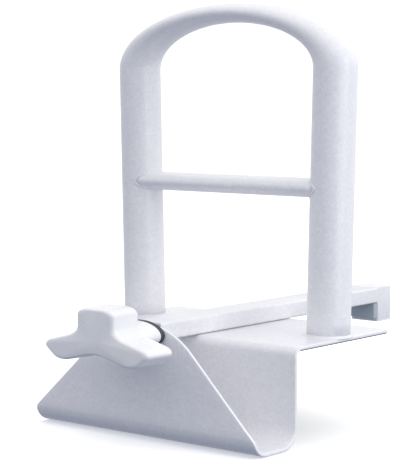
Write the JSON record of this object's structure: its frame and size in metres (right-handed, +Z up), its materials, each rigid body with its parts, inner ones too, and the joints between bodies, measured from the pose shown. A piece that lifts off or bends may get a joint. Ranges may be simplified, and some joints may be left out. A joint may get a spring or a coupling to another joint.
{
  "type": "bathtub grab rail",
  "caption": "Clamp-on bathtub grab rail: a bent tube handle with a crossbar on a folded sheet bracket, and a sliding jaw drawn in by a lobed knob.",
  "frame": {"origin": "middle of the rim seat's underside, in the plane of the handle", "axes": "+Z up along the handle, +Y from the knob towards the jaw, X along the crossbar"},
  "size_m": [0.2592, 0.4153, 0.37],
  "materials": {
    "white_powder_coat": "satin powder coat",
    "white_plastic": "semi-gloss moulded",
    "dark_rubber": "matte",
    "grey_rubber": "matte",
    "zinc_steel": "zinc plated",
    "brass": "turned",
    "nylon": "matte"
  },
  "bodies": {
    "bracket_body": {"bracket": "white_powder_coat", "rim_liner": "dark_rubber", "wall_liner": "dark_rubber", "left_leg": "white_powder_coat", "right_leg": "white_powder_coat", "handle_bow": "white_powder_coat", "crossbar": "white_powder_coat", "leg_welds": "white_powder_coat", "thrust_pad": "dark_rubber", "screw_bush": "nylon", "guide_stud": "zinc_steel", "guide_washer": "zinc_steel", "guide_nut": "zinc_steel"},
    "knob": {"knob_body": "white_plastic", "knob_insert": "brass", "clamp_screw": "zinc_steel", "retaining_clip": "zinc_steel"},
    "arm": {"arm_tube": "white_powder_coat", "nut_block": "zinc_steel", "nut_block_pins": "white_powder_coat", "jaw": "white_powder_coat", "jaw_plug": "white_plastic", "jaw_pad": "grey_rubber", "pad_studs": "zinc_steel"}
  },
  "joints": [
    {"name": "knob_spin", "type": "hinge", "parent": "bracket_body", "child": "knob", "pos_m": [0, -0.13, 0.01035], "axis": [0, -1, 0], "range_deg": [0, 6900]},
    {"name": "arm_slide", "type": "slide", "parent": "bracket_body", "child": "arm", "axis": [0, 1, 0], "range_m": [0, 0.058]}
  ],
  "couplings": [
    {"joint": "arm_slide", "follows": "knob_spin", "m_per_rad": 0.00047746}
  ]
}
